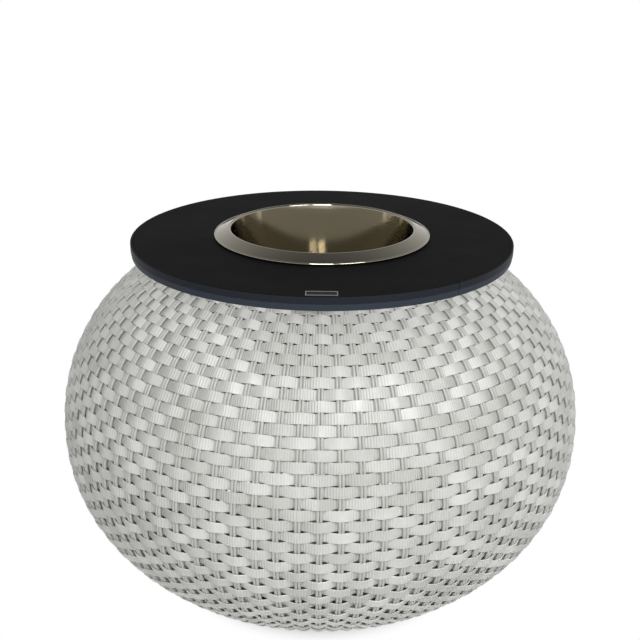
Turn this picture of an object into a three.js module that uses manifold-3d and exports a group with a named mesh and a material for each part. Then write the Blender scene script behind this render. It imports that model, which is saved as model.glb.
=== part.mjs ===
// Ice bucket coffee table: a squashed globe of woven resin strands on an aluminium cage, with a
// round edge-banded board on top and a stainless ice bucket that drops through its middle.
// Millimetres, +Z up. The origin is on the floor, on the axis of the globe; the front faces -Y.
import * as THREE from 'three';
import { mergeVertices } from 'three/addons/utils/BufferGeometryUtils.js';
import Module from 'manifold-3d';

const wasm = await Module();
wasm.setup();

// Table top
const tableHeight = 390;
const topRadius = 200;
const boardThickness = 13.5;
const bandThickness = 2.4;
const bandRidgeDrop = 7;
const bandGrooveDepth = 0.5;
const bandGrooveHeight = 0.6;
const bandCant = 0.8;
const bandRounding = 0.9;
const bandSeamGap = 0.4;
const bandSeamAngle = THREE.MathUtils.degToRad(-51.4);
const boardHoleRadius = 101;
const boardHoleChamfer = 1;

// Woven globe: its outline is two superellipse halves that meet at the equator and end at the mouths
const globeRadius = 281;
const equatorDrop = 202;
const crownMouthRadius = 157;
const crownExponent = 2.15;
const baseMouthRadius = 148.5;
const bellyExponent = 2.08;
const weaveThickness = 6;

// Aluminium cage
const ribCount = 8;
const rodDiameter = 10;
const ringThickness = 4;
const ringWidth = 18;
const ribSeatLength = 11;
const ribBendDrop = 4;

// Fixing screws under the board, between the ribs
const screwCount = 4;
const screwShankRadius = 2.2;
const screwHeadRadius = 4.5;
const screwHeadHeight = 2.6;
const screwBite = 8;
const pilotSpare = 1;

// Push-in glides under the base ring
const glideCount = 4;
const glideHeight = 6;
const glideRadius = 13;
const glideDraft = 1.5;
const glideFootRounding = 1.2;
const glideStemRadius = 3.8;
const glideStemStand = 2.5;

// Ice bucket, spun from stainless sheet
const bucketOpeningRadius = 96;
const bucketDraft = THREE.MathUtils.degToRad(5);
const bucketDepth = 193;
const bucketLipRise = 8.5;
const bucketFlangeRadius = 114;
const bucketSheet = 1;
const bucketLipRadius = 1.6;
const bucketCornerRadius = 16;
const bucketFloorDome = 4;
const bucketBeadRadius = 1.3;

// Clearances
const seatGap = 0.3;
const holeClearance = 0.4;
const weaveClearance = 0.6;
const cutOverrun = 2;
const weldDistance = 1e-4;

// Facets
const turnSegments = 64;
const rodSides = 8;
const ribSteps = 18;
const boreSides = 10;
const glideSides = 16;
const globeSteps = 8;
const roundDivisions = 2;
const bandDivisions = 3;

const equatorHeight = tableHeight - equatorDrop;
const boardUnderside = tableHeight - boardThickness;
const weaveTop = boardUnderside - seatGap;
const weaveBottom = glideHeight;
const rodRadius = rodDiameter / 2;

const material = (color, roughness, metalness) =>
  new THREE.MeshStandardMaterial({ color, roughness, metalness });

const table = new THREE.Group();

function place(name, geometry, finish, turn = 0) {
  const mesh = new THREE.Mesh(geometry, finish);
  mesh.name = name;
  mesh.rotation.z = turn;
  table.add(mesh);
  return mesh;
}

function weld(geometry) {
  const bare = geometry.clone();
  bare.deleteAttribute('normal');
  bare.deleteAttribute('uv');
  return mergeVertices(bare, weldDistance);
}

// A profile of (radius, height) points turned round the Z axis. The points are put in the order
// that has the solid on their left, which turns the faces outward.
function revolve(points, segments = turnSegments) {
  const doubledArea = points.reduce((sum, point, i) => {
    const next = points[(i + 1) % points.length];
    return sum + point.x * next.y - next.x * point.y;
  }, 0);
  const ordered = doubledArea < 0 ? [...points].reverse() : points;
  const geometry = new THREE.LatheGeometry(ordered, segments);
  geometry.rotateX(Math.PI / 2);
  return weld(geometry);
}

function closed(points) {
  return [...points, points[0].clone()];
}

function toSolid(geometry) {
  const welded = weld(geometry);
  return new wasm.Manifold(new wasm.Mesh({
    numProp: 3,
    vertProperties: new Float32Array(welded.attributes.position.array),
    triVerts: new Uint32Array(welded.index.array),
  }));
}

function toGeometry(solid) {
  const mesh = solid.getMesh();
  const geometry = new THREE.BufferGeometry();
  geometry.setAttribute('position', new THREE.BufferAttribute(mesh.vertProperties, 3));
  geometry.setIndex(new THREE.BufferAttribute(mesh.triVerts, 1));
  geometry.computeVertexNormals();
  return geometry;
}

function cut(geometry, cutters) {
  const whole = toSolid(geometry);
  return toGeometry(cutters.reduce((solid, cutter) => solid.subtract(toSolid(cutter)), whole));
}

function around(count, startAngle, make) {
  return Array.from({ length: count }, (_, i) => make(startAngle + (i * 2 * Math.PI) / count, i));
}

function postAt(radius, angle, ringRadius, bottom, top, sides = boreSides) {
  const post = new THREE.CylinderGeometry(radius, radius, top - bottom, sides);
  post.rotateX(Math.PI / 2);
  post.translate(ringRadius * Math.cos(angle), ringRadius * Math.sin(angle), (top + bottom) / 2);
  return post;
}

// How far a superellipse half would reach to its pole, so that it passes a mouth at a height.
function poleReach(mouthHeight, mouthRadius, exponent) {
  return mouthHeight / (1 - (mouthRadius / globeRadius) ** exponent) ** (1 / exponent);
}

const crownRise = poleReach(weaveTop - equatorHeight, crownMouthRadius, crownExponent);
const bellyDepth = poleReach(equatorHeight - weaveBottom, baseMouthRadius, bellyExponent);

// Point of the globe's outline at an angle from 0 (top pole) to PI (bottom pole), set in square to
// the surface by a distance.
function globePoint(angle, inset = 0) {
  const upper = angle <= Math.PI / 2;
  const exponent = upper ? crownExponent : bellyExponent;
  const reach = upper ? crownRise : bellyDepth;
  const radius = globeRadius * Math.sin(angle) ** (2 / exponent);
  const rise = reach * Math.abs(Math.cos(angle)) ** (2 / exponent) * (upper ? 1 : -1);
  const normal = new THREE.Vector2(
    (radius / globeRadius) ** (exponent - 1) / globeRadius,
    Math.sign(rise) * (Math.abs(rise) / reach) ** (exponent - 1) / reach,
  ).normalize();
  return new THREE.Vector2(radius, equatorHeight + rise).addScaledVector(normal, -inset);
}

// Angle at which the inset outline passes a height, above or below the equator, found by halving.
function globeAngleAt(height, inset, above) {
  const halvings = 48;
  const poleShare = 0.01;
  const nearPole = poleShare * Math.PI;
  let high = above ? nearPole : Math.PI / 2;
  let low = above ? Math.PI / 2 : Math.PI - nearPole;
  for (let i = 0; i < halvings; i += 1) {
    const middle = (high + low) / 2;
    if (globePoint(middle, inset).y > height) high = middle;
    else low = middle;
  }
  return (high + low) / 2;
}

function globeOutline(top, bottom, inset, steps) {
  const first = globeAngleAt(top, inset, true);
  const last = globeAngleAt(bottom, inset, false);
  return Array.from({ length: 2 * steps + 1 }, (_, i) =>
    globePoint(first + ((last - first) * i) / (2 * steps), inset));
}

// The cage's two flat rings close the globe's mouths, flush with the ends of the weave.
const innerTop = globePoint(globeAngleAt(weaveTop, weaveThickness, true), weaveThickness);
const innerBottom = globePoint(globeAngleAt(weaveBottom, weaveThickness, false), weaveThickness);
const topRingOuter = innerTop.x - weaveClearance;
const baseRingOuter = innerBottom.x - weaveClearance;
const topRingMiddle = topRingOuter - ringWidth / 2;
const baseRingMiddle = baseRingOuter - ringWidth / 2;
const topRingUnderside = weaveTop - ringThickness;
const baseRingTop = weaveBottom + ringThickness;
const ribAngle = Math.PI / ribCount;
const screwAngle = 2 * Math.PI / ribCount;

function wovenShell() {
  const outer = globeOutline(weaveTop, weaveBottom, 0, globeSteps);
  const inner = globeOutline(weaveTop, weaveBottom, weaveThickness, globeSteps).reverse();
  return revolve(closed([...outer, ...inner]));
}

function flatRing(outerRadius, underside) {
  const inner = outerRadius - ringWidth;
  return revolve(closed([
    new THREE.Vector2(inner, underside),
    new THREE.Vector2(outerRadius, underside),
    new THREE.Vector2(outerRadius, underside + ringThickness),
    new THREE.Vector2(inner, underside + ringThickness),
  ]));
}

function topRing() {
  const holes = around(screwCount, screwAngle, (angle) => postAt(
    screwShankRadius + holeClearance, angle, topRingMiddle,
    topRingUnderside - cutOverrun, weaveTop + cutOverrun,
  ));
  return cut(flatRing(topRingOuter, topRingUnderside), holes);
}

function baseRing() {
  const holes = around(glideCount, screwAngle, (angle) => postAt(
    glideStemRadius + holeClearance, angle, baseRingMiddle,
    weaveBottom - cutOverrun, baseRingTop + cutOverrun,
  ));
  return cut(flatRing(baseRingOuter, weaveBottom), holes);
}

function rodProfile(sides = rodSides) {
  return Array.from({ length: sides }, (_, i) => {
    const angle = ((2 * i + 1) * Math.PI) / sides;
    return new THREE.Vector2(rodRadius * Math.cos(angle), rodRadius * Math.sin(angle));
  });
}

// The hoop runs inside the ribs at the globe's widest height.
function bellyRing() {
  const ribInside = globeRadius - weaveThickness - weaveClearance - rodDiameter;
  const centre = new THREE.Vector2(ribInside - seatGap - rodRadius, equatorHeight);
  return revolve(closed(rodProfile().map((point) => point.add(centre))));
}

// A rib follows the inside of the weave and turns in flat at both ends, onto the rings.
function rib() {
  const inset = weaveThickness + weaveClearance + rodRadius;
  const topSeat = topRingUnderside - seatGap - rodRadius;
  const baseSeat = baseRingTop + seatGap + rodRadius;
  const bow = globeOutline(topSeat - ribBendDrop, baseSeat + ribBendDrop, inset, globeSteps);
  const line = [
    new THREE.Vector2(topRingOuter - ribSeatLength, topSeat),
    new THREE.Vector2(topRingOuter, topSeat),
    ...bow,
    new THREE.Vector2(baseRingOuter, baseSeat),
    new THREE.Vector2(baseRingOuter - ribSeatLength, baseSeat),
  ];
  const path = new THREE.CatmullRomCurve3(line.map((point) => new THREE.Vector3(point.x, 0, point.y)));
  const section = new THREE.Shape(rodProfile());
  return weld(new THREE.ExtrudeGeometry(section, {
    steps: ribSteps, extrudePath: path, bevelEnabled: false,
  }));
}

// The board's top face is two rings that meet just outside the bucket's flange, so the outer ring is
// the open table surface.
function topBoard() {
  const outer = topRadius - bandThickness - seatGap;
  const board = revolve(closed([
    new THREE.Vector2(boardHoleRadius, boardUnderside),
    new THREE.Vector2(outer, boardUnderside),
    new THREE.Vector2(outer, tableHeight),
    new THREE.Vector2(bucketFlangeRadius + seatGap, tableHeight),
    new THREE.Vector2(boardHoleRadius + boardHoleChamfer, tableHeight),
    new THREE.Vector2(boardHoleRadius, tableHeight - boardHoleChamfer),
  ]));
  const pilots = around(screwCount, screwAngle, (angle) => postAt(
    screwShankRadius + holeClearance, angle, topRingMiddle,
    boardUnderside - cutOverrun, boardUnderside + screwBite + pilotSpare,
  ));
  return cut(board, pilots);
}

// The band has an upright upper face, a fine groove under its ridge and a lower face that leans in.
// Its ends butt together at one seam.
function edgeBand() {
  const inner = topRadius - bandThickness;
  const ridge = tableHeight - bandRidgeDrop;
  const outline = new THREE.Shape();
  outline.moveTo(inner, boardUnderside);
  outline.lineTo(topRadius - bandCant, boardUnderside);
  outline.lineTo(topRadius, ridge - bandGrooveHeight);
  outline.lineTo(topRadius - bandGrooveDepth, ridge - bandGrooveHeight / 2);
  outline.lineTo(topRadius, ridge);
  outline.lineTo(topRadius, tableHeight - bandRounding);
  const roundingCentre = new THREE.Vector2(topRadius - bandRounding, tableHeight - bandRounding);
  outline.absarc(roundingCentre.x, roundingCentre.y, bandRounding, 0, Math.PI / 2, false);
  outline.lineTo(inner, tableHeight);
  const band = revolve(closed(outline.getPoints(bandDivisions)));
  const seam = new THREE.BoxGeometry(
    bandThickness + 2 * cutOverrun, bandSeamGap, boardThickness + 2 * cutOverrun,
  );
  seam.translate(topRadius - bandThickness / 2, 0, tableHeight - boardThickness / 2);
  seam.rotateZ(bandSeamAngle);
  return cut(band, [seam]);
}

// A pan-head screw stands up through the top ring into the board.
function topScrew(angle) {
  const headTop = topRingUnderside - seatGap;
  const shank = postAt(
    screwShankRadius, angle, topRingMiddle, headTop - screwHeadHeight / 2, boardUnderside + screwBite,
  );
  const head = postAt(screwHeadRadius, angle, topRingMiddle, headTop - screwHeadHeight, headTop);
  return toGeometry(toSolid(head).add(toSolid(shank)));
}

// A glide is a drafted disc with a stem that pushes up through the base ring.
function glide() {
  const top = glideHeight - seatGap;
  return revolve([
    new THREE.Vector2(0, 0),
    new THREE.Vector2(glideRadius - glideDraft - glideFootRounding, 0),
    new THREE.Vector2(glideRadius - glideDraft, glideFootRounding),
    new THREE.Vector2(glideRadius, top),
    new THREE.Vector2(glideStemRadius, top),
    new THREE.Vector2(glideStemRadius, baseRingTop + glideStemStand),
    new THREE.Vector2(0, baseRingTop + glideStemStand),
  ], glideSides);
}

// The bucket is one sheet: a domed floor, a round corner, a drafted wall, a lip and a flange that
// slopes down to a rolled bead, which rests on the board. Each arc runs into the next, so the two
// sides of the sheet are the same arcs, half its thickness to either side of its middle line.
function iceBucket() {
  const half = bucketSheet / 2;
  const lipHeight = tableHeight + bucketLipRise;
  const lip = new THREE.Vector2(
    bucketOpeningRadius + half + bucketLipRadius, lipHeight - half - bucketLipRadius,
  );
  const bead = new THREE.Vector2(
    bucketFlangeRadius - bucketBeadRadius, tableHeight + seatGap + bucketBeadRadius,
  );
  const lipToBead = bead.clone().sub(lip);
  const flangeSlope = Math.asin(bucketLipRadius / lipToBead.length()) - lipToBead.angle();
  const cornerHeight = lipHeight - bucketDepth + half + bucketCornerRadius;
  const acrossWall = bucketLipRadius + bucketCornerRadius;
  const draftLean = (lip.y - cornerHeight) * Math.tan(bucketDraft) + acrossWall / Math.cos(bucketDraft);
  const corner = new THREE.Vector2(lip.x - draftLean, cornerHeight);
  const domeRadius = (corner.x ** 2 + bucketFloorDome ** 2 - 2 * bucketCornerRadius * bucketFloorDome)
    / (2 * bucketFloorDome);
  const domeCentre = corner.y - bucketCornerRadius + bucketFloorDome - domeRadius;
  const domeAngle = Math.asin(corner.x / (domeRadius + bucketCornerRadius));
  const quarter = Math.PI / 2;
  const beadNeck = Math.asin(half / bucketBeadRadius);

  const outline = new THREE.Shape();
  outline.absarc(0, domeCentre, domeRadius + half, quarter, quarter - domeAngle, true);
  outline.absarc(corner.x, corner.y, bucketCornerRadius - half, -quarter - domeAngle, -bucketDraft, false);
  outline.absarc(lip.x, lip.y, bucketLipRadius + half, Math.PI - bucketDraft, quarter - flangeSlope, true);
  outline.absarc(
    bead.x, bead.y, bucketBeadRadius,
    Math.PI - flangeSlope - beadNeck, beadNeck - flangeSlope - Math.PI, true,
  );
  outline.absarc(lip.x, lip.y, bucketLipRadius - half, quarter - flangeSlope, Math.PI - bucketDraft, false);
  outline.absarc(corner.x, corner.y, bucketCornerRadius + half, -bucketDraft, -quarter - domeAngle, true);
  outline.absarc(0, domeCentre, domeRadius - half, quarter - domeAngle, quarter, false);
  const points = outline.getPoints(roundDivisions);
  points[0].x = 0;
  points[points.length - 1].x = 0;
  return revolve(points);
}

const blackBoard = material(0x1f1f1f, 0.62, 0);
const slateBand = material(0x3c4148, 0.4, 0);
const resinWeave = material(0xdcdad4, 0.6, 0);
const aluminium = material(0xa9abad, 0.45, 1);
const stainless = material(0xb9b5aa, 0.16, 1);
const zincScrew = material(0xb0b2b5, 0.4, 1);
const blackNylon = material(0x18181a, 0.7, 0);

place('top_board', topBoard(), blackBoard);
place('edge_band', edgeBand(), slateBand);
place('ice_bucket', iceBucket(), stainless);
place('woven_shell', wovenShell(), resinWeave);
place('frame_top_ring', topRing(), aluminium);
place('frame_belly_ring', bellyRing(), aluminium);
place('frame_base_ring', baseRing(), aluminium);
around(ribCount, ribAngle, (angle, i) => {
  place(`frame_rib_${i + 1}`, rib(), aluminium.clone(), angle);
});
around(screwCount, screwAngle, (angle, i) => {
  place(`top_screw_${i + 1}`, topScrew(angle), zincScrew.clone());
});
around(glideCount, screwAngle, (angle, i) => {
  const mesh = place(`glide_${i + 1}`, glide(), blackNylon.clone());
  mesh.position.set(baseRingMiddle * Math.cos(angle), baseRingMiddle * Math.sin(angle), 0);
});

export default table;
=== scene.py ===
"""Ice bucket coffee table: a squashed globe woven from flat resin strands on an aluminium cage, a
round edge-banded board on top and a stainless ice bucket that drops through its middle.

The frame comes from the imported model. Metres, +Z up, the floor at zero, the front facing -Y.
"""
import math

import bmesh
import bpy
from bpy.props import FloatProperty, FloatVectorProperty, IntProperty, PointerProperty
from mathutils import Matrix, Vector


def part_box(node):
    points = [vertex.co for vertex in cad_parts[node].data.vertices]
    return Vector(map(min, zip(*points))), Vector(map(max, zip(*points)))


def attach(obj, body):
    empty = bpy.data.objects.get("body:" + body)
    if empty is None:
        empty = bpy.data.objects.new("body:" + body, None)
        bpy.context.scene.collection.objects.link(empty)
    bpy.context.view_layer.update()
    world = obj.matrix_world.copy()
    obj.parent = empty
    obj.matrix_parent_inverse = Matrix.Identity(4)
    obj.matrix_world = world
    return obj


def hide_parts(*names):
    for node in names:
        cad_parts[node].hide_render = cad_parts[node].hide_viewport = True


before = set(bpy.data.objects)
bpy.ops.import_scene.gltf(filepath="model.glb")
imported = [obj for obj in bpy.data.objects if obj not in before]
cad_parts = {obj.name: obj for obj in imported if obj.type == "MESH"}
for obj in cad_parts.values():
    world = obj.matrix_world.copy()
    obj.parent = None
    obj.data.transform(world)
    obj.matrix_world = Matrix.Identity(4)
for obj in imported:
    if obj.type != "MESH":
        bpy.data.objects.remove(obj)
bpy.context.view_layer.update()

bl_info = {
    "name": "Ice Bucket Coffee Table",
    "version": (1, 0, 0),
    "blender": (4, 5, 0),
    "location": "View3D > Sidebar > Bucket Table",
    "description": "Dresses the woven globe table, its board, bucket, cage and fastenings",
    "category": "Object",
}

MM = 0.001
TABLE_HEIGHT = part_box("edge_band")[1].z
BOARD_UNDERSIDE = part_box("edge_band")[0].z
TOP_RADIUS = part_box("edge_band")[1].x
GLOBE_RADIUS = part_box("woven_shell")[1].x
WEAVE_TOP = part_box("woven_shell")[1].z
WEAVE_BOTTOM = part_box("woven_shell")[0].z
TOP_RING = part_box("frame_top_ring")
BASE_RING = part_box("frame_base_ring")
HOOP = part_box("frame_belly_ring")
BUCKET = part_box("ice_bucket")
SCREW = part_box("top_screw_1")
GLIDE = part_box("glide_1")
RIB_NODES = sorted(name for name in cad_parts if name.startswith("frame_rib_"))
SCREW_NODES = sorted(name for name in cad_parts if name.startswith("top_screw_"))
GLIDE_NODES = sorted(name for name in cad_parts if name.startswith("glide_"))
FRONT = -math.pi / 2

BAND_STEPS = 256
BUCKET_STEPS = 192
OUTLINE_STEPS = 300
RIB_STEPS = 40
RIB_SUBSTEPS = 4
ROD_SIDES = 16
FLOAT_SAMPLES = 16
UPRIGHT_SAMPLES = 3  # for each course that an upright passes
STRAND_SIDES = 8
FLAT_SQUARENESS = 0.2  # nearly a rectangle
ROUND_SQUARENESS = 0.75  # an oval with flattened sides
COURSE_STRAY = (9, 9, 9)  # how fast a course strays round the globe
UPRIGHT_STRAY = (0.7, 1, 14)  # from strand to strand, and along a strand
SOFTBOX_SIZE = 0.8
# A softbox's power setting and place, whether reflections show it, and whether the table's rim
# shades the weave from it. The high ones shine past the rim, so that the first courses stay light.
SOFTBOXES = {
    "key_softbox": ("key_power", (0.9, -1.3, 1.7), True, False),
    "front_softbox": ("front_power", (0.0, -2.2, 1.1), True, True),
    "top_softbox": ("top_power", (0.0, -1.7, 1.8), True, False),
    "back_softbox": ("back_power", (-0.5, 1.6, 1.5), False, True),
}
CORNERS = ((-1, -1), (1, -1), (1, 1), (-1, 1))


def linear(code):
    """An sRGB hex colour as linear red, green and blue."""
    parts = [int(code[i:i + 2], 16) / 255 for i in (0, 2, 4)]
    return [p / 12.92 if p <= 0.04045 else ((p + 0.055) / 1.055) ** 2.4 for p in parts]


def length(name, description, millimetres):
    return FloatProperty(name=name, description=description, default=millimetres * MM, unit="LENGTH")


def angle(name, description, default):
    return FloatProperty(name=name, description=description, default=math.radians(default),
                         subtype="ANGLE", unit="ROTATION")


def colour(name, description, code):
    return FloatVectorProperty(name=name, description=description, default=linear(code),
                               subtype="COLOR", min=0, max=1)


def number(name, description, default, unit="NONE"):
    return FloatProperty(name=name, description=description, default=default, unit=unit)


class WeaveSettings(bpy.types.PropertyGroup):
    """The woven globe."""

    equator_drop: length("Equator drop", "From the table top down to the widest course", 202)
    crown_mouth: length("Crown mouth", "Radius where the weave meets the board", 157)
    crown_exponent: number("Crown exponent", "Squareness of the upper half", 2.15)
    base_mouth: length("Base mouth", "Radius where the weave ends above the floor", 148.5)
    belly_exponent: number("Belly exponent", "Squareness of the lower half", 2.08)
    wall: length("Wall", "Depth that the weave takes in the cage", 6)
    pitch: length("Course pitch", "Distance from course to course along the outline", 10.54)
    first_course: length("First course", "From the crown mouth to the first course", 6.72)
    bricks: IntProperty(name="Bricks", description="Floats in one course", default=46, min=3)
    weft_width: length("Weft width", "Width of the flat strand", 10.45)
    weft_thickness: length("Weft thickness", "Thickness of the flat strand", 1.2)
    weft_wave: length("Weft wave", "How far the crest of a float stands out", 3.0)
    float_fullness: number("Float fullness", "How square the arch of a float is", 1.5)
    float_trough: number("Float trough", "Where a float passes behind, as a share of its crest", -0.45)
    middle: length("Middle", "From the outline in to the middle of the weave", 3.75)
    warp_width: length("Warp width", "Width of one upright strand", 2.9)
    warp_thickness: length("Warp thickness", "Thickness of one upright strand", 3.0)
    warp_spacing: length("Warp spacing", "Between the two strands of a pair", 2.9)
    warp_lift: length("Warp lift", "From the middle of the weave out to the uprights", 0.95)
    warp_wave: length("Warp wave", "How far the uprights swing in and out", 0.6)
    rim_cord: length("Rim cord", "Radius of the cord that binds each mouth", 2.1)
    wander: length("Wander", "How far the hand-laid strands stray", 0.25)
    rib_spacing: length("Rib spacing", "Between the fine ribs embossed across the strand", 2.5)
    weft_colour: colour("Weft colour", "Flat strand", "dededb")
    weft_shade: colour("Weft shade", "Darker strand of the batch", "bcbcb7")
    # Painted shade: the upright strand is coloured darker than the flat strand, for the shade that the
    # recessed uprights sit in.
    warp_shaded_colour: colour("Warp colour", "Upright strand", "b6b6b3")


class TopSettings(bpy.types.PropertyGroup):
    """The board, its edge band and its bare name plate."""

    band_thickness: length("Band thickness", "Depth of the edge band", 2.4)
    band_ridge_drop: length("Ridge drop", "From the top to the band's ridge", 7)
    band_groove_depth: length("Groove depth", "Depth of the groove under the ridge", 0.5)
    band_groove_height: length("Groove height", "Height of the groove under the ridge", 0.6)
    band_cant: length("Band cant", "How far the lower face leans in", 0.8)
    band_rounding: length("Band rounding", "Round of the band's top edge", 0.9)
    band_foot_rounding: length("Foot rounding", "Round of the band's lower edge", 0.5)
    # The seam is 0.4 mm wide in the CAD, too fine to show, so it is drawn wider.
    seam_gap: length("Seam gap", "Where the band's ends butt together", 0.9)
    seam_angle: angle("Seam angle", "Direction of the seam", -51.4)
    plate_width: length("Plate width", "Bare name plate", 28.5)
    plate_depth: length("Plate depth", "Bare name plate", 10.5)
    plate_thickness: length("Plate thickness", "Bare name plate", 0.5)
    plate_border: length("Plate border", "Width of the plate's raised border", 0.7)
    plate_radius: length("Plate radius", "From the middle of the table to the plate", 191.3)
    board_colour: colour("Board colour", "Matt laminate", "0a0a0a")
    band_colour: colour("Band colour", "Edge band", "24272d")
    # Painted light: the band's lower face is painted paler, for the light that the floor and weave
    # throw up on it.
    band_bounce_lit_colour: colour("Band lower colour", "Edge band under its groove", "363c45")
    plate_colour: colour("Plate colour", "Field of the name plate", "1a1a1b")
    border_colour: colour("Border colour", "Border of the name plate", "c9cacb")


class BucketSettings(bpy.types.PropertyGroup):
    """The spun ice bucket."""

    opening_radius: length("Opening radius", "Inside the lip", 96)
    draft: angle("Draft", "Lean of the wall", 5)
    sheet: length("Sheet", "Thickness of the sheet", 1)
    lip_radius: length("Lip radius", "Bend of the sheet at the lip", 1.6)
    corner_radius: length("Corner radius", "Bend of the sheet at the floor", 16)
    dome: length("Dome", "Rise of the floor's middle", 4)
    bead_radius: length("Bead radius", "Rolled edge of the flange", 1.3)
    # Real rings are about 1 mm apart, too fine to show, so they are drawn coarser.
    spin_spacing: length("Spin spacing", "Between the faint rings left by spinning", 2.4)
    steel_colour: colour("Steel colour", "Polished stainless steel", "b4ae9f")


class CageSettings(bpy.types.PropertyGroup):
    """The aluminium cage, its screws and glides."""

    rod_radius: length("Rod radius", "Ribs and hoop", 5)
    seat_length: length("Seat length", "Flat end of a rib on its ring", 11)
    bend_drop: length("Bend drop", "Height of the bend at the end of a rib", 4)
    clearance: length("Clearance", "Between the ribs and the weave", 0.6)
    seat_gap: length("Seat gap", "Between pieces that rest on each other", 0.3)
    screw_shank: length("Screw shank", "Radius of the shank", 2.2)
    screw_head: length("Screw head", "Radius of the head", 4.5)
    screw_head_height: length("Screw head height", "Height of the head", 2.6)
    drive_reach: length("Drive reach", "Half the width of the cross recess", 2.3)
    drive_wing: length("Drive wing", "Thickness of a wing of the recess", 0.9)
    drive_depth: length("Drive depth", "Depth of the recess", 1.5)
    glide_draft: length("Glide draft", "How much narrower the foot is than the flange", 1.5)
    glide_rounding: length("Glide rounding", "Round of the foot", 1.2)
    glide_stem: length("Glide stem", "Radius of the push-in stem", 3.8)
    aluminium_colour: colour("Aluminium colour", "Mill finish", "a9abad")
    zinc_colour: colour("Zinc colour", "Plated screws", "b0b2b5")
    nylon_colour: colour("Nylon colour", "Glides", "18181a")


class StudioSettings(bpy.types.PropertyGroup):
    """Camera, floor and lights."""

    camera_place: FloatVectorProperty(
        name="Camera place", description="Where the camera stands", unit="LENGTH",
        default=(-1.2 * MM, -959.6 * MM, TABLE_HEIGHT + 270.8 * MM))
    camera_pitch: angle("Camera pitch", "How far the camera looks down", 21.03)
    camera_roll: angle("Camera roll", "How far the camera leans", 0.57)
    focal_length: number("Focal length", "In millimetres", 52.66)
    floor_size: length("Floor size", "Width of the floor", 12000)
    floor_colour: colour("Floor colour", "Pale floor", "efefee")
    shade_radius: length("Shade radius", "The floor keeps its shade up to here", 120)
    glow_radius: length("Glow radius", "The floor looks white from here on", 180)
    ambient: number("Ambient", "Strength of the sky on the object", 0.2)
    mirrored_horizon: number("Mirrored horizon", "Strength of the sky in reflections, low down", 0.75)
    mirrored_zenith: number("Mirrored zenith", "Strength of the sky in reflections, overhead", 0.04)
    key_power: number("Key power", "Softbox above the front right", 14, "POWER")
    front_power: number("Front power", "Softbox over the camera", 3, "POWER")
    top_power: number("Top power", "Softbox high at the front", 26, "POWER")
    back_power: number("Back power", "Softbox high at the back", 9, "POWER")


SETTINGS = {
    "woven_globe": WeaveSettings,
    "table_top": TopSettings,
    "ice_bucket": BucketSettings,
    "cage": CageSettings,
    "studio": StudioSettings,
}


def feed(tree, item, inputs):
    """Sets a node's inputs, given by name or in order. A value is set, a socket is linked, and of a
    node its first output is linked."""
    for key, value in inputs.items() if isinstance(inputs, dict) else enumerate(inputs):
        if isinstance(value, bpy.types.Node):
            value = value.outputs[0]
        if isinstance(value, bpy.types.NodeSocket):
            tree.links.new(value, item.inputs[key])
        else:
            item.inputs[key].default_value = value


def add(tree, kind, inputs=(), operation=None, captures=None, **settings):
    """Adds a node with its settings and inputs. Its kind is given without its prefix. A node that
    captures a value has the geometry as its first output and the kept value as its second."""
    prefix = next(p for p in ("ShaderNode", "GeometryNode", "") if hasattr(bpy.types, p + kind))
    item = tree.nodes.new(prefix + kind)
    if operation:
        item.operation = operation
    if captures:
        item.capture_items.new(captures, "Kept")
    for name, value in settings.items():
        setattr(item, name, value)
    feed(tree, item, inputs)
    return item


def new_material(name, base, metallic=0.0):
    """A Principled material, with its tree, its shader and the object coordinates for a pattern."""
    material = bpy.data.materials.new(name)
    material.use_nodes = True
    tree = material.node_tree
    shader = tree.nodes["Principled BSDF"]
    feed(tree, shader, {"Base Color": (*base, 1), "Metallic": metallic})
    return material, tree, shader, add(tree, "TexCoord").outputs["Object"]


def textured(tree, shader, pattern, roughness, strength, depth, relief=None):
    """Lets a pattern vary the roughness between two values, and raises the surface by the same
    pattern or by another. Returns the bump."""
    low, high = roughness
    gloss = add(tree, "MapRange", {"Value": pattern, "To Min": low, "To Max": high})
    bump = add(tree, "Bump", {"Height": pattern if relief is None else relief, "Strength": strength,
                              "Distance": depth})
    feed(tree, shader, {"Roughness": gloss, "Normal": bump})
    return bump


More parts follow.
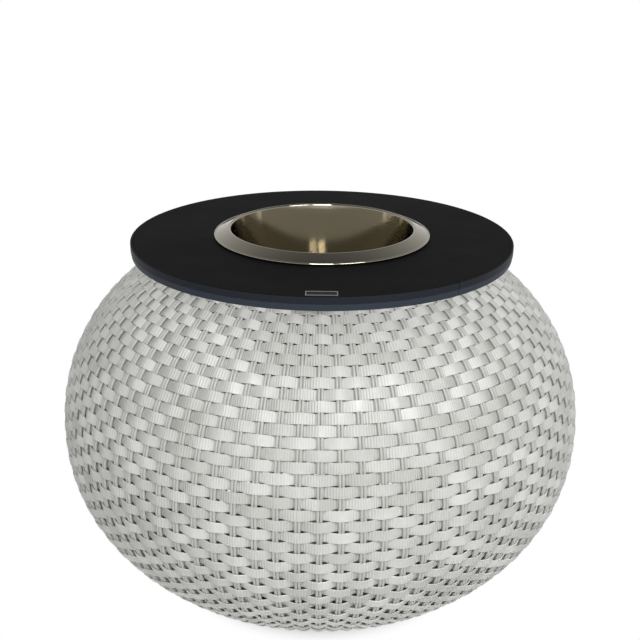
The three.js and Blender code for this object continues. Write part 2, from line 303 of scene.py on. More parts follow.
def resin_strand(name, base, shade, ribbed):
    """Extruded polyethylene strand, solid-coloured: satin, with a slightly different tone from strand
    to strand and, on the flat strand, fine ribs embossed across it with painted shade in their grooves."""
    material, tree, shader, place = new_material(name, base)
    # The real grain is about 0.1 mm, too fine to show, so it is drawn coarser.
    mottle_size, grain_size = 35 * MM, 0.7 * MM
    own_tone_share = 0.65
    tone = add(tree, "Attribute", attribute_name="strand_tone").outputs["Fac"]
    mottle = add(tree, "TexNoise", {"Vector": place, "Scale": 1 / mottle_size, "Detail": 3.0})
    blend = add(tree, "Math", (tone, own_tone_share, mottle), "MULTIPLY_ADD")
    ramp = add(tree, "MapRange", {"Value": blend, "From Min": 0.3, "From Max": 1.35})
    mixed = add(tree, "Mix", {"Factor": ramp, "A": (*base, 1), "B": (*shade, 1)}, data_type="RGBA")
    tinted = mixed.outputs["Result"]
    grain = add(tree, "TexNoise", {"Vector": place, "Scale": 1 / grain_size, "Detail": 2.0})
    bump = textured(tree, shader, mottle, roughness=(0.28, 0.5), strength=0.12,
                    depth=0.1 * MM, relief=grain)
    if ribbed:
        # The ribs stand out in some places and are nearly worn away in others.
        apart = add(tree, "SeparateXYZ", (place,)).outputs
        turn = add(tree, "Math", (apart["Y"], apart["X"]), "ARCTAN2")
        count = add(tree, "Attribute", attribute_name="rib_count").outputs["Fac"]
        phase = add(tree, "Math", (turn, count), "MULTIPLY")
        wave = add(tree, "Math", (phase,), "SINE")
        patchy = add(tree, "MapRange", {"Value": mottle, "From Min": 0.36, "From Max": 0.52,
                                        "To Min": 0.2})
        height = add(tree, "Math", (wave, patchy), "MULTIPLY")
        raised = add(tree, "Bump", {"Height": height, "Normal": bump, "Strength": 0.65,
                                    "Distance": 0.25 * MM})
        # Painted shade: the colour darkens by up to an eighth where the ribs dip, for the shade in
        # their grooves.
        groove = add(tree, "MapRange", {"Value": height, "From Min": -1.0, "To Min": 0.88})
        tinted = add(tree, "VectorMath", {0: tinted, "Scale": groove}, "SCALE")
        feed(tree, shader, {"Normal": raised})
    feed(tree, shader, {"Base Color": tinted})
    return material


def matt_laminate(settings):
    """High-pressure laminate with a dead-matt overlay: near black, with a very fine pearl texture
    and a faint bloom of dust."""
    base = settings.board_colour
    material, tree, shader, place = new_material("matt_laminate", base)
    # The real pearl is about 0.3 mm, too fine to show, so it is drawn coarser.
    cloud_size, pearl_size = 70 * MM, 0.9 * MM
    cloud = add(tree, "TexNoise", {"Vector": place, "Scale": 1 / cloud_size, "Detail": 5.0,
                                   "Roughness": 0.6})
    dusty = [min(1, 1.25 * part) for part in base]
    mixed = add(tree, "Mix", {"Factor": cloud, "A": (*base, 1), "B": (*dusty, 1)}, data_type="RGBA")
    pearl = add(tree, "TexVoronoi", {"Vector": place, "Scale": 1 / pearl_size})
    feed(tree, shader, {"Base Color": mixed.outputs["Result"], "Specular IOR Level": 0.055})
    textured(tree, shader, cloud, roughness=(0.52, 0.72), strength=0.25, depth=0.05 * MM,
             relief=pearl)
    return material


def edge_strip(settings):
    """Extruded ABS edge strip: slate black and satin, painted paler under its ridge for the light
    thrown up on it from below, and as black as the board on top, with long faint drawing lines round
    the edge."""
    base = settings.band_colour
    material, tree, shader, place = new_material("slate_edge_strip", base)
    height = add(tree, "SeparateXYZ", (place,)).outputs["Z"]
    ridge = TABLE_HEIGHT - settings.band_ridge_drop
    top_face = TABLE_HEIGHT - settings.band_rounding / 2
    # Painted light: below the ridge the band is paler, for the light thrown up on its lower face from
    # below.
    painted_bounce_mask = add(tree, "Math", (height, ridge), "LESS_THAN")
    pale = add(tree, "Mix", {"Factor": painted_bounce_mask, "A": (*base, 1), "B": (*settings.band_bounce_lit_colour, 1)},
               data_type="RGBA")
    above = add(tree, "Math", (height, top_face), "GREATER_THAN")
    rim = add(tree, "Mix", {"Factor": above, "A": pale.outputs["Result"],
                            "B": (*settings.board_colour, 1)}, data_type="RGBA")
    # Real drawing lines are under 0.1 mm high, too fine to show, so they are drawn coarser.
    lines_per_metre, line_height = 6.0, 0.35 * MM
    lines = add(tree, "Mapping", {"Vector": place,
                                  "Scale": (lines_per_metre, lines_per_metre, 1 / line_height)})
    drawn = add(tree, "TexNoise", {"Vector": lines, "Scale": 1.0, "Detail": 2.0})
    feed(tree, shader, {"Base Color": rim.outputs["Result"], "Specular IOR Level": 0.06})
    textured(tree, shader, drawn, roughness=(0.42, 0.58), strength=0.2, depth=0.05 * MM)
    return material


def polished_stainless(settings):
    """Stainless sheet, spun and buffed: a warm mirror with faint rings left by the spinning tool."""
    material, tree, shader, place = new_material("polished_stainless", settings.steel_colour, 1.0)
    apart = add(tree, "SeparateXYZ", (place,)).outputs
    flat = add(tree, "CombineXYZ", (apart["X"], apart["Y"]))
    radius = add(tree, "VectorMath", (flat,), "LENGTH").outputs["Value"]
    ring = add(tree, "CombineXYZ", (radius, apart["Z"]))
    spun = add(tree, "TexNoise", {"Vector": ring, "Scale": 1 / settings.spin_spacing, "Detail": 4.0,
                                  "Roughness": 0.7})
    textured(tree, shader, spun, roughness=(0.04, 0.13), strength=0.08, depth=0.05 * MM)
    return material


def plain_metal(name, base, roughness, scratch_size):
    """Bare metal as it left the mill or the plating bath: dull, with short random scratches."""
    material, tree, shader, place = new_material(name, base, 1.0)
    worn = add(tree, "TexNoise", {"Vector": place, "Scale": 1 / scratch_size, "Detail": 6.0,
                                  "Roughness": 0.7})
    textured(tree, shader, worn, roughness=(0.75 * roughness, 1.3 * roughness),
             strength=0.15, depth=0.05 * MM)
    return material


def moulded_nylon(settings):
    """Injection-moulded nylon from a spark-eroded tool: black, with a fine even stipple."""
    material, tree, shader, place = new_material("moulded_nylon", settings.nylon_colour)
    # The real stipple is about 0.1 mm, too fine to show, so it is drawn coarser.
    stipple_size = 0.5 * MM
    stipple = add(tree, "TexNoise", {"Vector": place, "Scale": 1 / stipple_size, "Detail": 2.0})
    textured(tree, shader, stipple, roughness=(0.5, 0.7), strength=0.3, depth=0.06 * MM)
    return material


def new_object(name, data):
    """An object at the origin for a mesh, a lamp or a camera."""
    made = bpy.data.objects.new(name, data)
    bpy.context.scene.collection.objects.link(made)
    return made


def mesh_from(name, vertices, edges=(), faces=()):
    """A mesh of points, edges and faces."""
    mesh = bpy.data.meshes.new(name)
    mesh.from_pydata([tuple(v) for v in vertices], list(edges), list(faces))
    mesh.update()
    return mesh


def polyline(name, points):
    """A run of edges in the XZ plane through (radius, height) points."""
    edges = [(i, i + 1) for i in range(len(points) - 1)]
    return mesh_from(name, [(p.x, 0, p.y) for p in points], edges)


def face_outward(mesh):
    """Merges doubles and turns the faces of a closed mesh outward."""
    work = bmesh.new()
    work.from_mesh(mesh)
    bmesh.ops.remove_doubles(work, verts=work.verts, dist=0.001 * MM)
    bmesh.ops.recalc_face_normals(work, faces=work.faces)
    work.to_mesh(mesh)
    work.free()
    return mesh


def revolved(name, profile, steps, start=0.0, sweep=2 * math.pi):
    """A closed profile of (radius, height) points turned round Z, with end faces if it stops short.
    Points on the axis become poles."""
    whole = abs(sweep - 2 * math.pi) < 1e-6
    rows = steps if whole else steps + 1
    vertices = []
    for row in range(rows):
        turn = start + sweep * row / steps
        vertices += [(p.x * math.cos(turn), p.x * math.sin(turn), p.y) for p in profile]
    count = len(profile)
    faces = []
    for row in range(steps):
        here = row * count
        there = ((row + 1) % rows) * count
        for i in range(count):
            j = (i + 1) % count
            if profile[i].x == 0 and profile[j].x == 0:
                continue
            faces.append((here + i, here + j, there + j, there + i))
    if not whole:
        faces.append(tuple(range(count)))
        faces.append(tuple(range(steps * count, rows * count)))
    return face_outward(mesh_from(name, vertices, (), faces))


def arc(centre, radius, start, end, steps):
    """Points along an arc, its two ends included."""
    turns = [start + (end - start) * i / steps for i in range(steps + 1)]
    return [centre + Vector((radius * math.cos(t), radius * math.sin(t))) for t in turns]


def hoop_of(name, centre, radius, sides, steps):
    """A round section at a (radius, height) point turned round Z."""
    section = arc(centre, radius, 0, 2 * math.pi, sides)[:-1]
    return new_object(name, revolved(name, section, steps))


def coat(piece, *materials):
    """Gives a piece its materials in place of any that it has."""
    piece.data.materials.clear()
    for material in materials:
        piece.data.materials.append(material)


def settle(made, material, body, slot, *replaced, sharp=None):
    """Gives a finished piece its material, its body and the CAD nodes that it stands for, and
    shades it smooth but for edges sharper than an angle in degrees."""
    if sharp is not None:
        made.data.shade_smooth()
        made.data.set_sharp_from_angle(angle=math.radians(sharp))
    if material is not None:
        coat(made, material)
    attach(made, body)
    if replaced:
        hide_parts(*replaced)


def evaluated_mesh(source):
    """The mesh that an object's modifiers make."""
    bpy.context.view_layer.update()
    return bpy.data.meshes.new_from_object(source.evaluated_get(bpy.context.evaluated_depsgraph_get()))


def grown(name, mesh, tree, values):
    """Runs a Geometry Nodes tree on a mesh and keeps the result as a plain mesh."""
    source = new_object(name + "_source", mesh)
    modifier = source.modifiers.new("Grow", "NODES")
    modifier.node_group = tree
    sockets = {item.name: item.identifier for item in tree.interface.items_tree
               if item.item_type == "SOCKET" and item.in_out == "INPUT"}
    for key, value in values.items():
        modifier[sockets[key]] = value
    result = evaluated_mesh(source)
    result.name = name
    bpy.data.objects.remove(source)
    if len(result.polygons) == 0:
        raise RuntimeError(f"{name}: the tree made no faces")
    return new_object(name, result)


def new_tree(name, counts, measures=()):
    """An empty Geometry Nodes tree with a geometry in and out, a material and named inputs: whole
    numbers first, then measures."""
    tree = bpy.data.node_groups.new(name, "GeometryNodeTree")
    inputs = [("Geometry", "Geometry"), *((key, "Int") for key in counts),
              *((key, "Float") for key in measures), ("Material", "Material")]
    for key, kind in inputs:
        tree.interface.new_socket(key, in_out="INPUT", socket_type="NodeSocket" + kind)
    tree.interface.new_socket("Geometry", in_out="OUTPUT", socket_type="NodeSocketGeometry")
    return tree, add(tree, "NodeGroupInput").outputs


def finish_tree(tree, group, geometry):
    """Ends a tree in Realize Instances, smooth shading and Set Material."""
    real = add(tree, "RealizeInstances", {"Geometry": geometry})
    smooth = add(tree, "SetShadeSmooth", {"Geometry": real})
    painted = add(tree, "SetMaterial", {"Geometry": smooth, "Material": group["Material"]})
    add(tree, "NodeGroupOutput", {"Geometry": painted})
    return tree


def numbered_copies(tree, group, piece, count):
    """Copies of a piece, all on one spot. Returns them and the number that each one keeps."""
    line = add(tree, "MeshLine", {"Count": count})
    index = add(tree, "InputIndex")
    numbered = add(tree, "Math", (index, group["First"]), "ADD")
    points = add(tree, "CaptureAttribute", (line, numbered), captures="FLOAT")
    copies = add(tree, "InstanceOnPoints", {"Points": points, "Instance": piece})
    return add(tree, "RealizeInstances", {"Geometry": copies}), points.outputs[1]


def strand_section(tree, squareness):
    """A closed strand section two wide and two deep: a circle squared off by an exponent. It keeps
    each point's place across and through the strand."""
    circle = add(tree, "CurvePrimitiveCircle", {"Resolution": STRAND_SIDES, "Radius": 1.0})
    spot = add(tree, "InputPosition")
    size = add(tree, "VectorMath", (spot,), "ABSOLUTE")
    power = add(tree, "VectorMath", (size, (squareness,) * 3), "POWER")
    side = add(tree, "VectorMath", (spot,), "SIGN")
    squared = add(tree, "VectorMath", (power, side), "MULTIPLY")
    return add(tree, "CaptureAttribute", (circle, squared), captures="VECTOR")


def on_outline(tree, outline, along, out):
    """The point that lies a length along the outline and a distance out from it, square to it, in
    the XZ plane."""
    sample = add(tree, "SampleCurve", {"Curves": outline, "Length": along}, mode="LENGTH")
    square = add(tree, "VectorMath", (sample.outputs["Tangent"], (0, 1, 0)), "CROSS_PRODUCT")
    return add(tree, "VectorMath", (square, out, sample.outputs["Position"]), "MULTIPLY_ADD")


def turned(tree, place, turn):
    """A place in the XZ plane turned round Z, from the front."""
    from_front = add(tree, "Math", (turn, FRONT), "ADD")
    return add(tree, "VectorRotate", {"Vector": place, "Angle": from_front}, rotation_type="Z_AXIS")


def weft_tree():
    """Courses of flat strand. Each swings out over one pair of uprights and in behind the next, and
    the courses alternate."""
    tree, group = new_tree("weft_courses", ("First", "Courses", "Bricks", "Samples"), (
        "Start", "Pitch", "Width", "Thickness", "Wave", "Fullness", "Trough", "Inset", "Wander",
        "Rib Spacing"))
    outline = add(tree, "MeshToCurve", {"Mesh": group["Geometry"]})
    index = add(tree, "InputIndex")

    steps = add(tree, "Math", (group["Bricks"], group["Samples"]), "MULTIPLY")
    circle = add(tree, "CurvePrimitiveCircle", {"Resolution": steps, "Radius": 1.0})
    turn_share = add(tree, "Math", (index, steps), "DIVIDE")
    turn_value = add(tree, "Math", (turn_share, 2 * math.pi), "MULTIPLY")
    path = add(tree, "CaptureAttribute", (circle, turn_value), captures="FLOAT")
    turn = path.outputs[1]
    section = strand_section(tree, FLAT_SQUARENESS)
    hoop = add(tree, "CurveToMesh", {"Curve": path, "Profile Curve": section})
    courses, course = numbered_copies(tree, group, hoop, group["Courses"])

    apart = add(tree, "SeparateXYZ", {"Vector": section.outputs[1]})
    round_place = turned(tree, (1, 0, 0), turn)
    stray_place = add(tree, "VectorMath", (round_place, COURSE_STRAY), "MULTIPLY")
    stray_level = add(tree, "CombineXYZ", {"Z": course})
    stray_spot = add(tree, "VectorMath", (stray_place, stray_level), "ADD")
    stray = add(tree, "TexNoise", {"Vector": stray_spot, "Scale": 1.0, "Detail": 1.0})
    centred = add(tree, "VectorMath", (stray.outputs["Color"], (0.5, 0.5, 0.5)), "SUBTRACT")
    strayed = add(tree, "VectorMath", (centred, group["Wander"]), "MULTIPLY")
    stray_parts = add(tree, "SeparateXYZ", {"Vector": strayed})

    level = add(tree, "Math", (course, group["Pitch"], group["Start"]), "MULTIPLY_ADD")
    half_width = add(tree, "Math", (group["Width"], 0.5), "MULTIPLY")
    across = add(tree, "Math", (apart.outputs["X"], half_width, level), "MULTIPLY_ADD")
    along = add(tree, "Math", (across, stray_parts.outputs["X"]), "ADD")

    flip = add(tree, "Math", (course, math.pi), "MULTIPLY")
    phase = add(tree, "Math", (turn, group["Bricks"], flip), "MULTIPLY_ADD")
    half_turns = add(tree, "Math", (phase, 1 / math.pi), "MULTIPLY")
    from_crest = add(tree, "Math", (half_turns, 1.0), "PINGPONG")
    fall = add(tree, "Math", (from_crest, group["Fullness"]), "POWER")
    swing = add(tree, "Math", (fall, -2.0, 1.0), "MULTIPLY_ADD")
    held = add(tree, "Math", (swing, group["Trough"]), "MAXIMUM")
    swung = add(tree, "Math", (held, group["Wave"], stray_parts.outputs["Y"]), "MULTIPLY_ADD")
    half_thick = add(tree, "Math", (group["Thickness"], 0.5), "MULTIPLY")
    through = add(tree, "Math", (apart.outputs["Y"], half_thick, swung), "MULTIPLY_ADD")
    out = add(tree, "Math", (through, group["Inset"]), "SUBTRACT")
    place = turned(tree, on_outline(tree, outline, along, out), turn)
    laid = add(tree, "SetPosition", {"Geometry": courses, "Position": place})

    middle = add(tree, "SampleCurve", {"Curves": outline, "Length": level}, mode="LENGTH")
    reach = add(tree, "SeparateXYZ", {"Vector": middle.outputs["Position"]})
    girth = add(tree, "Math", (reach.outputs["X"], 2 * math.pi), "MULTIPLY")
    ribs = add(tree, "Math", (girth, group["Rib Spacing"]), "DIVIDE")
    whole_ribs = add(tree, "Math", (ribs,), "ROUND")
    counted = add(tree, "StoreNamedAttribute", {
        "Geometry": laid, "Name": "rib_count", "Value": whole_ribs})
    whole_turns = add(tree, "Math", (half_turns, 0.5, 0.5), "MULTIPLY_ADD")
    brick = add(tree, "Math", (whole_turns,), "FLOOR")
    tile = add(tree, "CombineXYZ", {"X": course, "Y": brick})
    tone = add(tree, "TexWhiteNoise", {"Vector": tile}, noise_dimensions="2D")
    toned = add(tree, "StoreNamedAttribute", {
        "Geometry": counted, "Name": "strand_tone", "Value": tone.outputs["Value"]})
    return finish_tree(tree, group, toned)


def warp_tree():
    """Pairs of upright strands that run from mouth to mouth behind and in front of the courses."""
    tree, group = new_tree("warp_strands", ("First", "Strands", "Pairs", "Samples"), (
        "Start", "Pitch", "Width", "Thickness", "Spacing", "Wave", "Inset", "Wander"))
    outline = add(tree, "MeshToCurve", {"Mesh": group["Geometry"]})
    index = add(tree, "InputIndex")

    line = add(tree, "MeshLine", {"Count": group["Samples"]})
    last = add(tree, "Math", (group["Samples"], 1.0), "SUBTRACT")
    run_share = add(tree, "Math", (index, last), "DIVIDE")
    run = add(tree, "MeshToCurve", {"Mesh": line})
    whole = add(tree, "CurveLength", {"Curve": outline})
    run_length = add(tree, "Math", (run_share, whole), "MULTIPLY")
    path = add(tree, "CaptureAttribute", (run, run_length), captures="FLOAT")
    along = path.outputs[1]
    section = strand_section(tree, ROUND_SQUARENESS)
    strand = add(tree, "CurveToMesh", {"Curve": path, "Profile Curve": section, "Fill Caps": True})
    strands, number = numbered_copies(tree, group, strand, group["Strands"])

    halved = add(tree, "Math", (number, 0.5), "MULTIPLY")
    pair = add(tree, "Math", (halved,), "FLOOR")
    side = add(tree, "Math", (halved,), "FRACT")
    centred = add(tree, "Math", (side, 0.25), "SUBTRACT")
    beside = add(tree, "Math", (centred, 2.0), "MULTIPLY")
    turn_share = add(tree, "Math", (pair, group["Pairs"]), "DIVIDE")
    turn = add(tree, "Math", (turn_share, 2 * math.pi), "MULTIPLY")

    stray_spot = add(tree, "CombineXYZ", {"X": number, "Z": along})
    stray_scaled = add(tree, "VectorMath", (stray_spot, UPRIGHT_STRAY), "MULTIPLY")
    stray = add(tree, "TexNoise", {"Vector": stray_scaled, "Scale": 1.0, "Detail": 1.0})
    stray_centred = add(tree, "Math", (stray.outputs["Fac"], 0.5), "SUBTRACT")
    strayed = add(tree, "Math", (stray_centred, group["Wander"]), "MULTIPLY")

    apart = add(tree, "SeparateXYZ", {"Vector": section.outputs[1]})
    aside = add(tree, "Math", (beside, group["Spacing"], strayed), "MULTIPLY_ADD")
    half_width = add(tree, "Math", (group["Width"], 0.5), "MULTIPLY")
    across = add(tree, "Math", (apart.outputs["X"], half_width, aside), "MULTIPLY_ADD")
    from_start = add(tree, "Math", (along, group["Start"]), "SUBTRACT")
    in_courses = add(tree, "Math", (from_start, group["Pitch"]), "DIVIDE")
    shifted = add(tree, "Math", (in_courses, pair), "ADD")
    phase = add(tree, "Math", (shifted, math.pi), "MULTIPLY")
    swing = add(tree, "Math", (phase,), "COSINE")
    swung = add(tree, "Math", (swing, group["Wave"]), "MULTIPLY")
    half_thick = add(tree, "Math", (group["Thickness"], 0.5), "MULTIPLY")
    through = add(tree, "Math", (apart.outputs["Y"], half_thick), "MULTIPLY")
    net = add(tree, "Math", (through, swung), "SUBTRACT")
    out = add(tree, "Math", (net, group["Inset"]), "SUBTRACT")
    spine = on_outline(tree, outline, along, out)
    aside_place = add(tree, "CombineXYZ", {"Y": across})
    place = add(tree, "VectorMath", (spine, aside_place), "ADD")
    laid = add(tree, "SetPosition", {"Geometry": strands, "Position": turned(tree, place, turn)})
    tone = add(tree, "TexWhiteNoise", {"W": number}, noise_dimensions="1D")
    toned = add(tree, "StoreNamedAttribute", {
        "Geometry": laid, "Name": "strand_tone", "Value": tone.outputs["Value"]})
    return finish_tree(tree, group, toned)


def rod_tree():
    """A round rod swept along a smooth path in the XZ plane and repeated round Z."""
    tree, group = new_tree("rods_round_axis", ("Copies",), ("Start Angle", "Radius"))
    path = add(tree, "MeshToCurve", {"Mesh": group["Geometry"]})
    smooth = add(tree, "CurveSplineType", {"Curve": path}, spline_type="CATMULL_ROM")
    fine = add(tree, "SetSplineResolution", {"Geometry": smooth, "Resolution": RIB_SUBSTEPS})
    section = add(tree, "CurvePrimitiveCircle", {"Resolution": ROD_SIDES, "Radius": group["Radius"]})
    rod = add(tree, "CurveToMesh", {"Curve": fine, "Profile Curve": section, "Fill Caps": True})
    return copies_round_axis(tree, group, rod)


def copy_tree():
    """A piece at its first place repeated round Z."""
    tree, group = new_tree("copies_round_axis", ("Copies",), ("Start Angle",))
    return copies_round_axis(tree, group, group["Geometry"])


def copies_round_axis(tree, group, geometry):
    """Repeats a geometry round Z, on points that all lie at the origin."""
    points = add(tree, "MeshLine", {"Count": group["Copies"], "Offset": (0, 0, 0)})
    index = add(tree, "InputIndex")
    share_turned = add(tree, "Math", (index, group["Copies"]), "DIVIDE")
    turn = add(tree, "Math", (share_turned, 2 * math.pi, group["Start Angle"]), "MULTIPLY_ADD")
    rotation = add(tree, "CombineXYZ", {"Z": turn})
    copies = add(tree, "InstanceOnPoints", {
        "Points": points, "Instance": geometry, "Rotation": rotation})
    return finish_tree(tree, group, copies)


class Globe:
    """The globe's outline: two superellipse halves that meet at the equator and end at the mouths."""

    def __init__(self, weave):
        self.weave = weave
        self.equator = TABLE_HEIGHT - weave.equator_drop
        self.crown = self.reach(WEAVE_TOP - self.equator, weave.crown_mouth, weave.crown_exponent)
        self.belly = self.reach(self.equator - WEAVE_BOTTOM, weave.base_mouth, weave.belly_exponent)

    @staticmethod
    def reach(height, mouth, exponent):
        """How far a half would reach to its pole, so that it passes a mouth at a height."""
        return height / (1 - (mouth / GLOBE_RADIUS) ** exponent) ** (1 / exponent)

    def half_at(self, height):
        """How far up its half a height is, with the half's reach and exponent."""
        if height >= self.equator:
            pole, exponent = self.crown, self.weave.crown_exponent
        else:
            pole, exponent = self.belly, self.weave.belly_exponent
        return (height - self.equator) / pole, pole, exponent

    def radius_at(self, height):
        """The outline's radius at a height."""
        rise, _, exponent = self.half_at(height)
        return GLOBE_RADIUS * (1 - abs(rise) ** exponent) ** (1 / exponent)

    def slope_at(self, height):
        """The direction square to the outline, outward."""
        rise, pole, exponent = self.half_at(height)
        across = (self.radius_at(height) / GLOBE_RADIUS) ** (exponent - 1) / GLOBE_RADIUS
        along = math.copysign(abs(rise) ** (exponent - 1), rise) / pole
        return Vector((across, along)).normalized()

    def point_at(self, height, inset):
        """The point that lies a distance inside the outline, square to it."""
        return Vector((self.radius_at(height), height)) - self.slope_at(height) * inset

    def outline(self, inset, steps):
        """Points from mouth to mouth, spaced evenly by angle about the equator."""
        first = math.asin(max(-1, min(1, (WEAVE_TOP - self.equator) / self.crown)))
        last = math.asin(max(-1, min(1, (WEAVE_BOTTOM - self.equator) / self.belly)))
        turns = [first + (last - first) * i / steps for i in range(steps + 1)]
        heights = [self.equator + math.sin(t) * (self.crown if t > 0 else self.belly) for t in turns]
        return [self.point_at(height, inset) for height in heights]

    def course_line(self):
        """The outline that the strands follow, and its length."""
        line = self.outline(0, OUTLINE_STEPS)
        return line, sum((b - a).length for a, b in zip(line, line[1:]))


class BUCKETTABLE_OT_weft_courses(bpy.types.Operator):
    """Lays the flat strands of the globe"""

    bl_idname = "buckettable.weft_courses"
    bl_label = "Weft courses"

    def execute(self, context):
        weave = context.scene.woven_globe
        line, run = Globe(weave).course_line()
        end_margin = weave.weft_width / 2 + weave.rim_cord
        total = int((run - weave.first_course - end_margin) / weave.pitch) + 1
        third = total // 3
        finish = resin_strand("ribbed_resin_strand", weave.weft_colour, weave.weft_shade, ribbed=True)
        tree = weft_tree()
        parts = {"upper_weft_courses": (0, third), "middle_weft_courses": (third, third),
                 "lower_weft_courses": (2 * third, total - 2 * third)}
        for name, (first, courses) in parts.items():
            made = grown(name, polyline(name, line), tree, {
                "First": first, "Courses": courses, "Bricks": weave.bricks, "Samples": FLOAT_SAMPLES,
                "Start": weave.first_course, "Pitch": weave.pitch, "Width": weave.weft_width,
                "Thickness": weave.weft_thickness, "Wave": weave.weft_wave,
                "Fullness": weave.float_fullness, "Trough": weave.float_trough, "Inset": weave.middle,
                "Wander": 2 * weave.wander, "Rib Spacing": weave.rib_spacing, "Material": finish})
            settle(made, None, "table", "resin_weave", "woven_shell", sharp=45)
        return {"FINISHED"}


class BUCKETTABLE_OT_warp_strands(bpy.types.Operator):
    """Stands the pairs of upright strands in the globe and binds its mouths"""

    bl_idname = "buckettable.warp_strands"
    bl_label = "Warp strands"

    def execute(self, context):
        weave = context.scene.woven_globe
        globe = Globe(weave)
        line, run = globe.course_line()
        samples = UPRIGHT_SAMPLES * int(run / weave.pitch) + 1
        pairs = 2 * weave.bricks
        # The uprights take the darker colour that paints the shade they sit in.
        finish = resin_strand("plain_resin_strand", weave.warp_shaded_colour, weave.weft_shade, ribbed=False)
        tree = warp_tree()
        for name, first in (("right_warp_strands", 0), ("left_warp_strands", pairs)):
            made = grown(name, polyline(name, line), tree, {
                "First": first, "Strands": pairs, "Pairs": pairs, "Samples": samples,
                "Start": weave.first_course, "Pitch": weave.pitch, "Width": weave.warp_width,
                "Thickness": weave.warp_thickness, "Spacing": weave.warp_spacing,
                "Wave": weave.warp_wave, "Inset": weave.middle - weave.warp_lift,
                "Wander": 2 * weave.wander, "Material": finish})
            settle(made, None, "table", "resin_weave", "woven_shell")
        for name, height in (("upper_rim_cord", WEAVE_TOP), ("lower_rim_cord", WEAVE_BOTTOM)):
            side = 1 if height == WEAVE_TOP else -1
            centre = globe.point_at(height, weave.middle)
            centre.y = height - side * weave.rim_cord
            made = hoop_of(name, centre, weave.rim_cord, sides=12, steps=128)
            settle(made, finish, "table", "resin_weave", "woven_shell", sharp=60)
        return {"FINISHED"}


class BUCKETTABLE_OT_table_top(bpy.types.Operator):
    """Finishes the board and wraps its edge band round it"""

    bl_idname = "buckettable.table_top"
    bl_label = "Board and edge band"

    def execute(self, context):
        top = context.scene.table_top
        coat(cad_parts["top_board"], matt_laminate(top))
        inner = TOP_RADIUS - top.band_thickness
        ridge = TABLE_HEIGHT - top.band_ridge_drop
        round_centre = Vector((TOP_RADIUS - top.band_rounding, TABLE_HEIGHT - top.band_rounding))
        foot = Vector((TOP_RADIUS - top.band_cant, BOARD_UNDERSIDE))
        foot_centre = foot + Vector((-top.band_foot_rounding, top.band_foot_rounding))
        profile = [Vector((inner, BOARD_UNDERSIDE))]
        profile += arc(foot_centre, top.band_foot_rounding, -math.pi / 2, 0, steps=4)
        profile += [
            Vector((TOP_RADIUS, ridge - top.band_groove_height)),
            Vector((TOP_RADIUS - top.band_groove_depth, ridge - top.band_groove_height / 2)),
            Vector((TOP_RADIUS, ridge)),
        ]
        profile += arc(round_centre, top.band_rounding, 0, math.pi / 2, steps=6)
        profile.append(Vector((inner, TABLE_HEIGHT)))
        gap = top.seam_gap / TOP_RADIUS
        mesh = revolved("edge_strip", profile, BAND_STEPS, top.seam_angle + gap / 2, 2 * math.pi - gap)
        settle(new_object("edge_strip", mesh), edge_strip(top), "table", "slate_band", "edge_band",
               sharp=25)
        return {"FINISHED"}


class BUCKETTABLE_OT_name_plate(bpy.types.Operator):
    """Sets a bare framed plate into the front of the board"""

    bl_idname = "buckettable.name_plate"
    bl_label = "Bare name plate"

    def execute(self, context):
        top = context.scene.table_top
        half = Vector((top.plate_width / 2, top.plate_depth / 2))
        centre = Vector((0, -top.plate_radius))
        steps = ((0, 0), (0, 1), (top.plate_border, 1), (top.plate_border, 0.5))
        vertices = []
        for inset, level in steps:
            z = TABLE_HEIGHT + level * top.plate_thickness
            for sx, sy in CORNERS:
                vertices.append((centre.x + sx * (half.x - inset), centre.y + sy * (half.y - inset), z))
        faces = []
        for ring in range(len(steps) - 1):
            for i in range(4):
                j = (i + 1) % 4
                faces.append((4 * ring + i, 4 * ring + j, 4 * ring + 4 + j, 4 * ring + 4 + i))
        last = 4 * (len(steps) - 1)
        faces += [(0, 1, 2, 3), (last, last + 1, last + 2, last + 3)]
        mesh = face_outward(mesh_from("bare_name_plate", vertices, (), faces))
        plate = new_object("bare_name_plate", mesh)
        bright = plain_metal("bright_anodised_border", top.border_colour, 0.35, scratch_size=3 * MM)
        field = plain_metal("black_anodised_field", top.plate_colour, 0.5, scratch_size=3 * MM)
        settle(plate, bright, "table", "aluminium")
        plate.data.materials.append(field)
        for polygon in plate.data.polygons:
            inside = (polygon.center.xy - centre).length < top.plate_border
            if polygon.normal.z > 0.9 and inside:
                polygon.material_index = 1
        return {"FINISHED"}


